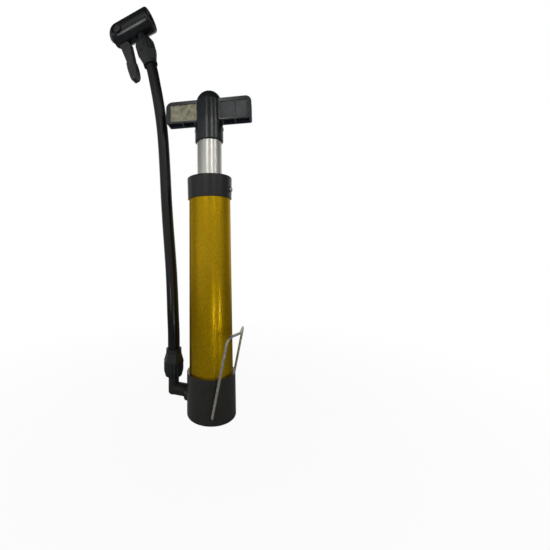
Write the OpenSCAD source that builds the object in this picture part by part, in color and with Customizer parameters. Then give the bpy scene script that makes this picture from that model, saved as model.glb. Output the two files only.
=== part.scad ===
// Mini floor pump: a lacquered barrel in a moulded base cup with a folding wire foot,
// a tee handle on a tubular rod, and a free hose that ends in a lever pump head.
// The base stands on z = 0 with its centre at the origin. The hose side is -X and the foot side is +X.

/* [Barrel] */
// Outer diameter of the barrel tube
barrel_d = 35; // [33:0.5:38]
// Wall of the barrel tube
barrel_wall = 1.25; // [0.8:0.05:2]
// Length of the barrel tube
barrel_len = 163.5; // [156:0.5:200]

/* [Base] */
// Wall of the base cup round the barrel
base_wall = 1.9; // [1.4:0.1:3]
// Height of the base cup
base_h = 32.8; // [29:0.1:45]
// Height of the floor that the barrel stands on
base_floor = 22; // [21.5:0.1:24]
// Round of the base's lower edge
base_round = 1.2; // [0.5:0.1:2]
// Thickness of the gasket under the barrel
gasket_t = 1.5; // [0.8:0.1:3]

/* [Wire foot] */
// Diameter of the foot's wire
wire_d = 2; // [1.6:0.1:2.6]
// Distance of the foot's hinge from the barrel's axis
foot_hinge_x = 8.5; // [6:0.1:10]
// Height of the foot's hinge
foot_hinge_z = 6.5; // [4:0.1:8]
// Length of the foot's legs from the hinge to the crossbar
foot_len = 60; // [50:1:80]
// Gap between the folded crossbar's ends and the barrel
foot_rest_gap = 3.2; // [1:0.1:6]
// How far the middle of the crossbar stands out
foot_bow = 3.6; // [2:0.1:6]
// Radius of the bends between legs and crossbar
foot_bend_r = 5; // [3:0.5:8]
// Depth of the wire's ends in the base
foot_grip = 4.5; // [3:0.5:7]

/* [Outlet] */
// Height of the outlet elbow's axis
outlet_z = 14; // [13.5:0.1:14.5]
// Diameter of the elbow's level arm
elbow_d = 10; // [9.6:0.1:12]
// Distance from the barrel's axis to the elbow's upright spigot
spigot_x = 34.7; // [34.7:0.1:40]
// Diameter of the elbow's upright spigot
spigot_d = 8.8; // [8.2:0.1:9.4]
// Diameter of the elbow's tail in the base
tail_d = 8; // [7.5:0.1:9]
// Length of the elbow's tail in the base
tail_len = 11; // [8:0.1:12]
// Diameter of the check valve's poppet
poppet_d = 5; // [4.6:0.1:5.4]
// Number of turns of the check spring
spring_turns = 4; // [3:1:5]

/* [Hose] */
// Outer diameter of the hose
hose_d = 10.2; // [9.6:0.1:10.4]
// Bore of the hose
hose_bore = 6; // [5:0.1:6.6]
// Length of the barbs inside the hose
barb_len = 12; // [8:0.5:14]
// Largest diameter of the nut at the elbow
lower_nut_d = 17.6; // [16.5:0.1:19]
// Length of the nut at the elbow
lower_nut_len = 22; // [20:0.5:26]
// Largest diameter of the nut at the pump head
upper_nut_d = 19; // [17:0.1:20]
// Length of the nut at the pump head
upper_nut_len = 26; // [24:0.5:31]
// Number of grip flutes round a nut
flutes = 16; // [10:1:18]

/* [Pump head] */
// Diameter of the head's body
head_d = 22.4; // [20.6:0.1:24]
// Distance from the hose port's axis to the mouth
mouth_x = 13.8; // [12.8:0.1:16]
// Distance from the hose port's axis to the lever's pin
pin_x = 18.2; // [17.5:0.1:22]
// Turn of the head about its hose port, in degrees
head_turn = 5.5; // [-30:0.5:30]
// Diameter of the mouth's hole
mouth_d = 10; // [9:0.1:11]
// Diameter of the valve hole in the rubber grommet
valve_d = 7.8; // [6:0.1:8.6]
// Diameter of the plunger's bore in the head
head_bore = 12.1; // [11.5:0.1:12.6]
// Diameter of the lever's pin
lever_pin_d = 4; // [3:0.1:4.4]
// Thickness of the lever's arm between the cheeks
lever_t = 6.6; // [6:0.1:7.6]
// Length of the lever from its pin
lever_len = 49.4; // [44:0.2:56]
// Width of the lever's neck
neck_w = 5.8; // [5.2:0.1:6.2]
// Thickness of the lever's paddle
paddle_t = 9.2; // [8.8:0.1:10.6]
// Radius of the lever's cam
cam_r = 5.5; // [5.2:0.1:5.8]
// Travel of the plunger between lever open and lever closed
plunger_travel = 2; // [1:0.1:2.2]

/* [Collar] */
// Wall of the collar at its lower edge
collar_wall = 0.95; // [0.8:0.05:2]
// How much wider in radius the collar's top is
collar_flare = 0.45; // [0:0.05:1]
// Height of the collar
collar_h = 18.4; // [17:0.1:22]
// Thickness of the collar's top plate
collar_top = 3.9; // [2.5:0.1:5]
// Diameter of the collar screw's head
screw_head_d = 4.6; // [3.6:0.1:5.4]
// Diameter of the collar screw's shank
screw_d = 2.5; // [2:0.1:3]
// Height of the rod's guide bush
bush_h = 11; // [10.5:0.5:16]
// Thickness of the rubber bumper under the bush
bumper_t = 4; // [2:0.5:8]

/* [Rod and piston] */
// Outer diameter of the rod tube
rod_d = 21.4; // [18:0.1:22]
// Wall of the rod tube
rod_wall = 1.3; // [0.8:0.1:2]
// Length of rod that shows between collar and hub
rod_shown = 31.6; // [24:0.1:45]
// Height of the piston's flange
flange_h = 5; // [4:0.5:8]
// Length of the piston's spigot inside the rod
piston_spigot = 18; // [14:1:26]
// Thickness of the cup seal's floor
cup_t = 2; // [1.2:0.1:3]
// Height of the cup seal's lip
cup_lip = 4; // [3:0.5:4.5]
// Thickness of the washer that clamps the cup seal
washer_t = 1.5; // [1:0.1:2]
// Diameter of the piston bolt
bolt_d = 5; // [4:0.5:6]

/* [Handle] */
// Length of the handle from end to end
handle_len = 74.6; // [70:0.2:77.8]
// Height of the grips
grip_h = 19.2; // [16:0.2:22]
// Thickness of the grips
grip_t = 12; // [11:0.2:14]
// Height of the grips' lower face above the hub's lower edge
grip_z = 17.7; // [15:0.1:20]
// Radius of the grips' upper outer corners
grip_corner = 5.4; // [3:0.1:7]
// Depth of the panels in the grips' faces
panel_depth = 0.7; // [0.5:0.1:1.2]
// Wall of the hub at its lower edge
hub_wall = 1.5; // [1.2:0.1:3]
// Radius of the hub's dome
dome_r = 11.2; // [10:0.1:11.8]
// Depth of the rod's socket in the hub
hub_socket = 14.5; // [13.5:0.1:15]
// Diameter of the cross pin through hub and rod
cross_pin_d = 3; // [2:0.1:4]
// Turn of the handle about the barrel's axis as it rests, in degrees
handle_turn = 13; // [-90:1:90]

/* [Clearances] */
// Radial gap of pieces that are put together for good
fit_gap = 0.1; // [0.05:0.01:0.15]
// Radial gap of pieces that turn or slide in one another
run_gap = 0.05; // [0.02:0.01:0.08]
// Gap between faces that pass each other
pass_gap = 0.4; // [0.3:0.05:0.6]

/* [Hidden] */
$fn = 96;
far = 100;

// The route of the free hose from the elbow's barb at [0, 0, 0] to the head's barb
HOSE_ROUTE = [
    [0, 0, 0], [0, 0, 14], [-0.2, 0, 27], [-0.9, 0, 41], [-1.8, 0.2, 59], [-3.1, 0.4, 79],
    [-5.1, 0.6, 101], [-7.1, 0.8, 122], [-8.8, 0.8, 144], [-10.1, 0.6, 167], [-11, -0.3, 188],
    [-11.8, -1.7, 206], [-13, -3.2, 221], [-14.7, -4.9, 236], [-16.9, -6.6, 251], [-19.7, -8.2, 266.8],
    [-24.6, -10.2, 284.8]];

// Colours
black = "#26282b";
soft_black = "#1c1d1f";
grey_plastic = "#3b3d40";
gold = "#b08d1e";
bright = "#d3d5d6";
galvanised = "#a9a79c";
rubber = "#2f2f31";
brass = "#b79a55";
foil = "#9b9884";

// Heights of the barrel and of what closes it
barrel_r = barrel_d / 2;
barrel_ir = barrel_r - barrel_wall;
base_r = barrel_r + fit_gap + base_wall;
barrel_z = base_floor + gasket_t;
barrel_top_z = barrel_z + barrel_len;
gasket_lip = 1;
collar_top_z = barrel_top_z + collar_top;
collar_z = collar_top_z - collar_h;
collar_edge = 1.2;
screw_z = collar_z + 7;
screw_seat = barrel_r + fit_gap + collar_wall + collar_flare * 0.6;
screw_head_h = 1.3;
screw_slot = 0.7;
screw_bite = 3;
bush_z = barrel_top_z - bush_h;
bumper_z = bush_z - bumper_t;
bumper_gap = 0.8;

// The rod and the piston as they rest
rod_r = rod_d / 2;
rod_ir = rod_r - rod_wall;
hub_z = collar_top_z + rod_shown;
bolt_head_h = 3;
bolt_thread = 10;
piston_floor_gap = 1;
shoulder_h = 3.5;
shoulder_gap = 0.2;
piston_z = base_floor + piston_floor_gap + rod_shown;
washer_z = piston_z + bolt_head_h;
cup_z = washer_z + washer_t;
cup_lip_t = 1.6;
flange_z = cup_z + cup_t;
shoulder_z = flange_z + flange_h;
spigot_z = shoulder_z + shoulder_h;
spigot_r = rod_ir - run_gap;
rod_z = spigot_z + shoulder_gap;
core_wall = 3;

// The wire foot: its legs clear the base's wall, and its lean follows from the barrel
wire_r = wire_d / 2;
leg_y = sqrt(pow(base_r, 2) - pow(foot_hinge_x - wire_r, 2)) + pass_gap + wire_r;
hinge_wall_y = sqrt(pow(base_r, 2) - pow(foot_hinge_x, 2));
foot_lean = asin((barrel_r + foot_rest_gap + wire_r - foot_hinge_x) / foot_len);
foot_end_gap = 0.5;
hinge_sink = 1;
hinge_sink_gap = 0.6;
wire_sides = 16;

// The foot's wire in its own plane: x along the hinge, y up the leg, z away from the barrel
bow_bend_r = 6;
bow_angle = atan(foot_bow / leg_y);
bow_dir = [-cos(bow_angle), 0, sin(bow_angle)];
bow_centre = [0, foot_len, foot_bow - bow_bend_r / cos(bow_angle)];
foot_corner = [leg_y, foot_len - foot_bend_r, 0];
foot_side = concat(
    [[leg_y, -wire_r / 2, 0]],
    [for (t = [0 : 15 : 90]) foot_corner + foot_bend_r * ((1 - cos(t)) * bow_dir + [0, sin(t), 0])],
    [for (u = [1, 0.5, 0]) bow_centre + bow_bend_r * [sin(u * bow_angle), 0, cos(u * bow_angle)]]);
foot_far_side = [for (i = [len(foot_side) - 2 : -1 : 0]) [-foot_side[i].x, foot_side[i].y, foot_side[i].z]];
foot_wire = concat(foot_side, foot_far_side);

// The outlet and the check valve below the barrel's floor
boss_out = 2.5;
boss_drop = 1.6;
boss_r = elbow_d / 2 + 1;
boss_x = base_r + boss_out;
tail_x = boss_x - tail_len;
arm_end = 0.8;
arm_round = 2.4;
seal_t = 1.2;
air_d = 3.4;
seat_d = 8;
seat_h = 3;
seat_hole_d = 3;
poppet_bore = poppet_d + 2 * run_gap;
poppet_h = 1.6;
poppet_notch_d = 1.6;
poppet_stem_d = 2;
poppet_stem = 4;
valve_floor_z = outlet_z - 5;
poppet_top_z = base_floor - seat_h - run_gap;
poppet_z = poppet_top_z - poppet_h;
spring_wire = 0.6;
spring_gap = 0.25;
spring_r = poppet_bore / 2 - spring_wire / 2 - spring_gap;
spring_end_gap = 0.05;
spring_points = 10;
spring_sides = 6;

// The hose's ends: each nut's thread reaches from its free edge to the hose's end
hose_r = hose_d / 2;
hose_sides = 12;
nut_chamfer = 4.8;
nut_ring = 3.4;
nut_ring_r = hose_r + 1.4;
nut_gap = 5.4;
nut_thread = 8.6;
nut_grip_share = 0.54;
nut_turn = 15;
nut_step = 0.5;
flute_r = 0.7;
flute_depth = 0.45;
barb_d = hose_bore + 0.5;
barb_steps = 4;
lower_nut_z = outlet_z + elbow_d / 2 + nut_gap;
hose_start = [-spigot_x, 0, lower_nut_z + nut_thread];
hose_path = [for (p = HOSE_ROUTE) hose_start + p];
hose_end = hose_path[len(hose_path) - 1];

// The pump head stands on the end of the hose, along the route's last stretch
port_dir = hose_end - hose_path[len(hose_path) - 2];
head_lean = atan2(port_dir.x, port_dir.z);
head_tip = asin(-port_dir.y / norm(port_dir));
head_r = head_d / 2;
port_len = 26.5;
neck_len = 4.5;
upper_nut_top = head_r + neck_len;
cap_h = 2.8;
cap_x = mouth_x - cap_h;
cap_thread_d = head_bore + 3.4;
cap_thread = 4;
cap_thread_gap = 0.2;
cap_lip = 1.4;
mouth_round = 2.2;
grommet_len = 8;
grommet_end_x = mouth_x - cap_lip;
grommet_x = grommet_end_x - grommet_len;
cam_offset = plunger_travel / 2;
cam_reach = cam_r + cam_offset * sqrt(2);
plunger_x = cam_r - pin_x - cam_offset + pass_gap;
plunger_end_x = grommet_x - plunger_travel - pass_gap;
plunger_d = head_bore - 2 * run_gap;
plunger_hole_d = 7;
plunger_side_d = air_d + plunger_travel + 1;
lever_front = cam_r - cam_offset - 0.3;
lever_back = lever_front + 1.1;
slot_w = lever_t + 2 * pass_gap;
slot_front = lever_front + 2 * pass_gap;
slot_top = lever_back + 2 * pass_gap;
dome_x = pin_x + 1.5;
spot_d = head_d / 2;
spot_y = head_r - 2.1;
pin_head_d = 1.6 * lever_pin_d;
pin_head_h = 1.3;

// The lever's outline: an arm that tapers to a neck, and a thicker paddle with a round end and a dish
arm_drop = 8;
neck_drop = 0.6 * lever_len;
neck_half = neck_w / 2;
neck_front = neck_half + 1.3;
arm_swell = 1.2;
paddle_drop = neck_drop + 1.2;
paddle_len = lever_len - paddle_drop;
paddle_front = neck_front + 0.1;
paddle_back = neck_half + 0.7;
tip_r = 1.5;
tip_half = 2.4;
tip_x = -0.7;
tip_round = 3;
dish_r = 11;
dish_depth = 0.85;

// The handle
hub_r = rod_r + fit_gap + hub_wall;
hub_edge = 0.6;
dome_z = grip_z + grip_h - 1.8;
sleeve_taper = 3;
grip_foot = 1.5;
cross_pin_z = 11;
cross_pin_proud = 0.3;
panel_x = dome_r - 1.2;
panel_rim_end = 4;
panel_rim_top = 3.2;
panel_rim_bottom = 1.2;
panel_w = handle_len / 2 - panel_rim_end - panel_x;
panel_h = grip_h - panel_rim_top - panel_rim_bottom;
panel_rib_w = 0.7;
panel_rib_x = panel_x + panel_w * 0.55;
pocket_x = hub_r + 0.8;
pocket_w = 8.8;
pocket_end = handle_len / 2 - 2.2;
pocket_depth = 4;
pocket_rib = 1.2;
foil_t = 0.3;
foil_inset = 0.15;

function unit(v) = v / norm(v);

// Direction of a path at one of its points
function path_dir(p, i) = unit(p[min(i + 1, len(p) - 1)] - p[max(i - 1, 0)]);

// One ring of n points round c, square to d, started from a fixed direction so that rings don't twist
function ring(c, d, ref, r, n) =
    let (a = unit(cross(ref, d)), b = cross(d, a))
    [for (k = [0 : n - 1]) c + r * (cos(360 * k / n) * a + sin(360 * k / n) * b)];

function rings(p, ref, r, n) = [for (i = [0 : len(p) - 1]) each ring(p[i], path_dir(p, i), ref, r, n)];

function halves(q) = [[q[0], q[1], q[2]], [q[0], q[2], q[3]]];

// Sides of a swept tube whose first point has the index o, facing out, or in where inward is true
function sweep_sides(m, n, o, inward) = [
    for (i = [0 : m - 2], k = [0 : n - 1])
        let (j = (k + 1) % n, a = o + i * n, b = a + n)
        each halves(inward ? [a + k, a + j, b + j, b + k] : [a + k, b + k, b + j, a + j])];

// Points of an arc about c from the angle a to the angle b
function arc(c, r, a, b, n) = [for (i = [0 : n]) let (t = a + (b - a) * i / n) c + r * [cos(t), sin(t)]];

// A tube of n sides along the points p, with a bore
module swept_tube(p, ref, r, bore_r, n) {
    m = len(p);
    inner = m * n;
    e = inner - n;
    first = [for (k = [0 : n - 1]) let (j = (k + 1) % n) each halves([k, j, inner + j, inner + k])];
    last = [
        for (k = [0 : n - 1])
            let (j = (k + 1) % n)
            each halves([e + j, e + k, inner + e + k, inner + e + j])];
    polyhedron(
        points = concat(rings(p, ref, r, n), rings(p, ref, bore_r, n)),
        faces = concat(sweep_sides(m, n, 0, false), sweep_sides(m, n, inner, true), first, last));
}

// A rod of n sides along the points p
module swept_rod(p, ref, r, n) {
    m = len(p);
    first = [for (k = [0 : n - 1]) k];
    last = [for (k = [0 : n - 1]) m * n - 1 - k];
    polyhedron(points = rings(p, ref, r, n), faces = concat(sweep_sides(m, n, 0, false), [first], [last]));
}

// The half section of a disc of height h with a round upper edge
module round_disc_section(r, h, edge) {
    square([r, h - edge]);
    square([r - edge, h]);
    translate([r - edge, h - edge])
        intersection() {
            circle(edge);
            square(edge);
        }
}

module ring_solid(r_out, r_in, h) {
    difference() {
        cylinder(r = r_out, h = h);
        translate([0, 0, -1]) cylinder(r = r_in, h = h + 2);
    }
}

// A cylinder along +X from x = a to x = b
module rod_x(r, a, b) translate([a, 0, 0]) rotate([0, 90, 0]) cylinder(r = r, h = b - a);

// A cylinder along +Y from y = a to y = b
module rod_y(r, a, b) translate([0, a, 0]) rotate([-90, 0, 0]) cylinder(r = r, h = b - a);

// An outline in x and z, given thickness in y about y = 0
module plate_y(t) translate([0, t / 2, 0]) rotate([90, 0, 0]) linear_extrude(t) children();

// The same shape on both sides of the XZ plane
module both_sides() {
    children();
    mirror([0, 1, 0]) children();
}

// The place of the outlet: +X runs outwards along the elbow's arm
module at_outlet() translate([0, 0, outlet_z]) rotate([0, 0, 180]) children();

// The place of the pump head: +X points to its mouth and -Z down its hose port
module at_head()
    translate(hose_end)
        rotate([head_tip, head_lean, 0])
            translate([0, 0, port_len])
                rotate([0, 0, head_turn])
                    children();

// The place of the lever's pin in the pump head
module at_pin() at_head() translate([-pin_x, 0, 0]) children();

// The place of the handle: z = 0 at the hub's lower edge, the grips along X
module at_handle() rotate([0, 0, handle_turn]) translate([0, 0, hub_z]) children();

// Cup that holds the barrel, with the outlet's boss, the check valve's well and the foot's holes
module base() {
    color(black)
        difference() {
            union() {
                translate([0, 0, base_h])
                    mirror([0, 0, 1])
                        rotate_extrude()
                            round_disc_section(base_r, base_h, base_round);
                at_outlet() translate([0, 0, -boss_drop]) rod_x(boss_r, base_r / 2, boss_x);
            }
            translate([0, 0, base_floor]) cylinder(r = barrel_r + fit_gap, h = base_h);
            translate([0, 0, base_floor - seat_h]) cylinder(d = seat_d + 2 * fit_gap, h = base_h);
            translate([0, 0, valve_floor_z]) cylinder(d = poppet_bore, h = base_h);
            at_outlet() {
                rod_x(air_d / 2, 0, boss_x);
                rod_x(tail_d / 2 + fit_gap, tail_x - seal_t, boss_x + 1);
            }
            translate([foot_hinge_x, 0, foot_hinge_z])
                both_sides() {
                    rod_y(wire_r + run_gap, hinge_wall_y - foot_grip - foot_end_gap, base_r);
                    rod_y(wire_r + hinge_sink_gap, hinge_wall_y - hinge_sink, base_r);
                }
        }
}

// Drawn tube, drilled for the collar's screw
module barrel() {
    color(gold)
        difference() {
            translate([0, 0, barrel_z]) ring_solid(barrel_r, barrel_ir, barrel_len);
            translate([0, 0, screw_z]) rod_x(screw_d / 2 + fit_gap, 0, far);
        }
}

// Flat ring between the barrel's end and the base
module barrel_gasket() {
    color(rubber)
        translate([0, 0, base_floor]) ring_solid(barrel_r, barrel_ir - gasket_lip, gasket_t);
}

// Bent wire stirrup that folds up beside the barrel, with its ends turned in as the hinge's pins
module wire_foot() {
    color(galvanised)
        translate([foot_hinge_x, 0, foot_hinge_z])
            rotate([0, foot_lean, 0]) {
                rotate([90, 0, 90]) swept_rod(foot_wire, [0, 0, 1], wire_r, wire_sides);
                both_sides() rod_y(wire_r, hinge_wall_y - foot_grip, leg_y);
            }
}

// Barb of stacked cones on a tube, along +Z
module barb() {
    step = barb_len / barb_steps;
    cylinder(d = hose_bore, h = barb_len);
    for (i = [0 : barb_steps - 1])
        translate([0, 0, i * step])
            cylinder(d1 = barb_d, d2 = hose_bore - 0.5, h = step);
}

// Moulded elbow: level arm, tail in the base, upright spigot with the hose's barb
module elbow() {
    arm_len = spigot_x + arm_end - boss_x;
    foot_z = outlet_z - elbow_d / 2 + arm_end / 2;
    color(black)
        difference() {
            union() {
                at_outlet() {
                    rod_x(tail_d / 2, tail_x, boss_x + 1);
                    translate([boss_x, 0, 0])
                        rotate([0, 90, 0])
                            rotate_extrude()
                                round_disc_section(elbow_d / 2, arm_len, arm_round);
                }
                translate([-spigot_x, 0, hose_start.z])
                    mirror([0, 0, 1])
                        rotate_extrude()
                            round_disc_section(spigot_d / 2, hose_start.z - foot_z, arm_round);
                translate(hose_start) barb();
            }
            at_outlet() rod_x(air_d / 2, 0, spigot_x);
            translate([-spigot_x, 0, outlet_z]) cylinder(d = air_d, h = far);
        }
}

// Flat seal between the elbow's tail and the base
module elbow_seal() {
    color(rubber)
        at_outlet()
            translate([tail_x - seal_t, 0, 0])
                rotate([0, 90, 0])
                    ring_solid(tail_d / 2, air_d / 2, seal_t);
}

// Pressed ring that the check valve closes against
module valve_seat() {
    color(brass)
        translate([0, 0, base_floor - seat_h]) ring_solid(seat_d / 2, seat_hole_d / 2, seat_h);
}

// Check valve: a notched disc on a stem, pushed up against its seat
module check_poppet() {
    color(brass)
        difference() {
            union() {
                translate([0, 0, poppet_z]) cylinder(d = poppet_d, h = poppet_h);
                translate([0, 0, poppet_z - poppet_stem]) cylinder(d = poppet_stem_d, h = poppet_stem + 0.5);
            }
            for (a = [0 : 120 : 240])
                rotate([0, 0, a])
                    translate([poppet_d / 2, 0, 0])
                        cylinder(d = poppet_notch_d, h = base_floor);
        }
}

// Spring below the poppet
module check_spring() {
    start = valve_floor_z + spring_wire / 2 + spring_end_gap;
    reach = poppet_z - spring_wire / 2 - spring_end_gap - start;
    count = spring_turns * spring_points;
    coil = [
        for (i = [0 : count])
            let (a = 360 * i / spring_points)
            [spring_r * cos(a), spring_r * sin(a), start + reach * i / count]];
    color(bright) swept_rod(coil, [0, 0, 1], spring_wire / 2, spring_sides);
}

// Six-sided taper of a hose nut: a cone with six flats, from its grip up to its ring
module nut_taper(d, h) {
    a1 = d / 2 * cos(30) + 0.1;
    a2 = nut_ring_r * cos(30) + 0.3;
    difference() {
        cylinder(r1 = d / 2, r2 = nut_ring_r + 0.1, h = h);
        for (i = [0 : 5])
            rotate([0, 0, 60 * i + 30])
                translate([a1, 0, 0])
                    rotate([0, -atan((a1 - a2) / h), 0])
                        translate([0, -d, -d])
                            cube([d, 2 * d, far]);
    }
}

// Compression nut along +Z: a chamfered fluted grip, a six-sided taper and a ring round the hose
module hose_nut(d, len, thread) {
    grip = len * nut_grip_share;
    grip_r = d / 2 - nut_step;
    difference() {
        union() {
            cylinder(r1 = spigot_d / 2 + 1.7, r2 = grip_r, h = nut_chamfer);
            translate([0, 0, nut_chamfer]) cylinder(r = grip_r, h = grip - nut_chamfer);
            translate([0, 0, grip]) nut_taper(d, len - nut_ring - grip);
            translate([0, 0, len - nut_ring]) cylinder(r = nut_ring_r, h = nut_ring);
        }
        for (i = [0 : flutes - 1])
            rotate([0, 0, 360 * (i + 0.5) / flutes])
                translate([grip_r + flute_r - flute_depth, 0, -1])
                    cylinder(r = flute_r, h = grip);
        translate([0, 0, -1]) cylinder(d = spigot_d + 2 * fit_gap, h = len);
        translate([0, 0, thread]) cylinder(r = hose_r + fit_gap, h = len);
    }
}

module lower_hose_nut() {
    color(soft_black)
        translate([-spigot_x, 0, lower_nut_z])
            rotate([0, 0, nut_turn])
                hose_nut(lower_nut_d, lower_nut_len, nut_thread);
}

module upper_hose_nut() {
    color(soft_black)
        at_head()
            translate([0, 0, -upper_nut_top])
                rotate([180, 0, nut_turn])
                    hose_nut(upper_nut_d, upper_nut_len, port_len - upper_nut_top);
}

// Free hose, pushed on the barbs at both ends
module hose() {
    color(soft_black) swept_tube(hose_path, [0, 1, 0], hose_r, hose_bore / 2, hose_sides);
}

// Body of the pump head: bored for the plunger, domed round the lever's pin, slotted for the lever
module head_body() {
    color(black)
        difference() {
            at_head() {
                rod_x(head_r, -dome_x, cap_x);
                translate([-dome_x, 0, 0]) sphere(head_r);
                translate([0, 0, -port_len]) cylinder(d = spigot_d, h = port_len);
                translate([0, 0, -port_len]) rotate([180, 0, 0]) barb();
            }
            at_head() {
                rod_x(head_bore / 2, -pin_x, cap_x + 1);
                rod_x(cap_thread_d / 2 + fit_gap, cap_x - cap_thread, cap_x + 1);
                translate([0, 0, -far]) cylinder(d = air_d, h = far);
            }
            at_pin() {
                rod_y(cam_reach + pass_gap, -slot_w / 2, slot_w / 2);
                translate([-far, -slot_w / 2, -far]) cube([far + slot_front, slot_w, far]);
                translate([-far, -slot_w / 2, -1]) cube([far, slot_w, slot_top + 1]);
                rod_y(lever_pin_d / 2 + fit_gap, -far, far);
                both_sides() rod_y(spot_d / 2, spot_y, far);
            }
        }
}

// Screwed ring that keeps the grommet in the head
module head_cap() {
    color(black)
        at_head()
            difference() {
                union() {
                    translate([cap_x, 0, 0])
                        rotate([0, 90, 0])
                            rotate_extrude()
                                round_disc_section(head_r, cap_h, mouth_round);
                    rod_x(cap_thread_d / 2, cap_x - cap_thread + cap_thread_gap, cap_x + 0.5);
                }
                rod_x(mouth_d / 2, 0, far);
                rod_x(head_bore / 2, 0, grommet_end_x);
            }
}

// Rubber bush that grips the tyre's valve
module valve_grommet() {
    color(rubber)
        at_head()
            translate([grommet_x, 0, 0])
                rotate([0, 90, 0])
                    ring_solid(head_bore / 2 - fit_gap, valve_d / 2, grommet_len);
}

// Plunger that the cam pushes against the grommet, open at the side towards the hose port
module head_plunger() {
    color(bright)
        at_head()
            difference() {
                rod_x(plunger_d / 2, plunger_x, plunger_end_x);
                rod_x(plunger_hole_d / 2, -plunger_hole_d, far);
                translate([-plunger_travel / 2, 0, -far]) cylinder(d = plunger_side_d, h = far);
            }
}

// Outline of the lever's arm below its pin, as seen from the side
module lever_arm() {
    foot = -paddle_drop - paddle_len / 4;
    polygon([
        [-lever_back, 0], [-lever_back, -arm_drop], [-neck_half, -neck_drop], [-neck_half, foot],
        [neck_front, foot], [neck_front, -neck_drop], [lever_front + arm_swell, -head_r - 2 * arm_swell],
        [lever_front, -head_r], [lever_front, 0]]);
}

// Outline of the lever's paddle, as seen from the side
module lever_paddle() {
    bend = [for (share = [0.3, 0.52, 0.75]) -paddle_drop - share * paddle_len];
    low = tip_r - lever_len;
    polygon(concat(
        [[-neck_half - 0.2, -paddle_drop], [-paddle_back, bend[0]], [-paddle_back, bend[1]],
            [-paddle_back + 0.2, bend[2]]],
        arc([tip_x - tip_half + tip_r, low], tip_r, 190, 270, 5),
        arc([tip_x + tip_half - tip_r, low], tip_r, 270, 350, 5),
        [[paddle_front - 0.8, bend[2]], [paddle_front - 0.2, bend[1]], [paddle_front, bend[0]],
            [neck_front, -paddle_drop]]));
}

// What is cut off one side of the paddle, to leave its end with round corners
module paddle_relief() {
    corner = arc([paddle_t / 2 - tip_round, tip_round - lever_len], tip_round, 0, -90, 6);
    outer = paddle_t / 2 + 1;
    translate([-far / 2, 0, 0])
        rotate([90, 0, 90])
            linear_extrude(far)
                polygon(concat(
                    [[outer, tip_round - lever_len]], corner,
                    [[corner[6].x, -lever_len - 1], [outer, -lever_len - 1]]));
}

// Flip lever with an eccentric cam about its pin and a dish for the thumb
module lever() {
    color(black)
        at_pin()
            difference() {
                union() {
                    plate_y(lever_t) lever_arm();
                    plate_y(paddle_t) lever_paddle();
                    translate([-cam_offset, 0, cam_offset]) rod_y(cam_r, -lever_t / 2, lever_t / 2);
                }
                both_sides() paddle_relief();
                translate([paddle_front + dish_r - dish_depth, 0, -paddle_drop - paddle_len * 0.42])
                    sphere(dish_r);
                rod_y(lever_pin_d / 2 + run_gap, -far, far);
            }
}

// Pin through the head's cheeks, with a flat round head at each end
module lever_pin() {
    color(soft_black)
        at_pin() {
            rod_y(lever_pin_d / 2, -spot_y, spot_y);
            both_sides() rod_y(pin_head_d / 2, spot_y, spot_y + pin_head_h);
        }
}

// Cap over the barrel's open end
module collar() {
    inner = barrel_r + fit_gap;
    lower = inner + collar_wall;
    upper = lower + collar_flare;
    hole = rod_r + pass_gap;
    color(black)
        difference() {
            rotate_extrude() {
                polygon([
                    [inner, collar_z], [lower, collar_z], [upper, collar_top_z - collar_edge],
                    [upper - collar_edge, collar_top_z], [hole, collar_top_z], [hole, barrel_top_z],
                    [inner, barrel_top_z]]);
                translate([upper - collar_edge, collar_top_z - collar_edge]) circle(collar_edge);
            }
            translate([0, 0, screw_z]) rod_x(screw_d / 2 + fit_gap, 0, far);
        }
}

// Round-head screw through the collar and the barrel into the bush
module collar_screw() {
    arm = screw_head_d * 0.55;
    color(bright)
        translate([0, 0, screw_z])
            difference() {
                union() {
                    rod_x(screw_d / 2, barrel_ir - screw_bite, screw_seat + 0.1);
                    translate([screw_seat, 0, 0])
                        rotate([0, 90, 0])
                            rotate_extrude()
                                round_disc_section(screw_head_d / 2, screw_head_h, screw_head_h * 0.7);
                }
                for (a = [0, 90])
                    translate([screw_seat + screw_head_h / 2, 0, 0])
                        rotate([a, 0, 0])
                            translate([0, -screw_slot / 2, -arm / 2])
                                cube([screw_head_h, screw_slot, arm]);
            }
}

// Bush in the barrel's end that the rod slides in
module guide_bush() {
    color(grey_plastic)
        difference() {
            translate([0, 0, bush_z]) ring_solid(barrel_ir - fit_gap, rod_r + run_gap, bush_h);
            translate([0, 0, screw_z])
                rod_x(screw_d / 2 + fit_gap, barrel_ir - screw_bite - pass_gap, far);
        }
}

// Rubber ring that stops the piston at the top of its stroke
module bumper() {
    color(rubber)
        translate([0, 0, bumper_z]) ring_solid(barrel_ir - bumper_gap, rod_r + bumper_gap, bumper_t);
}

// Rod tube from the piston's spigot to the handle's socket
module rod() {
    color(bright)
        difference() {
            translate([0, 0, rod_z]) ring_solid(rod_r, rod_ir, hub_z + hub_socket - rod_z);
            at_handle() translate([0, 0, cross_pin_z]) rod_x(cross_pin_d / 2 + fit_gap, -far, far);
        }
}

// Piston: a flange behind the cup seal and a spigot that the rod turns on
module piston() {
    color(grey_plastic)
        difference() {
            union() {
                translate([0, 0, flange_z]) cylinder(r = barrel_ir - pass_gap, h = flange_h);
                translate([0, 0, shoulder_z]) cylinder(r = rod_r - fit_gap, h = shoulder_h);
                translate([0, 0, spigot_z]) cylinder(r = spigot_r, h = piston_spigot);
            }
            translate([0, 0, flange_z - 1])
                cylinder(d = bolt_d + 2 * fit_gap, h = bolt_thread + 1 + pass_gap);
            translate([0, 0, spigot_z + 2 * core_wall])
                cylinder(r = spigot_r - core_wall, h = piston_spigot);
        }
}

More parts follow.
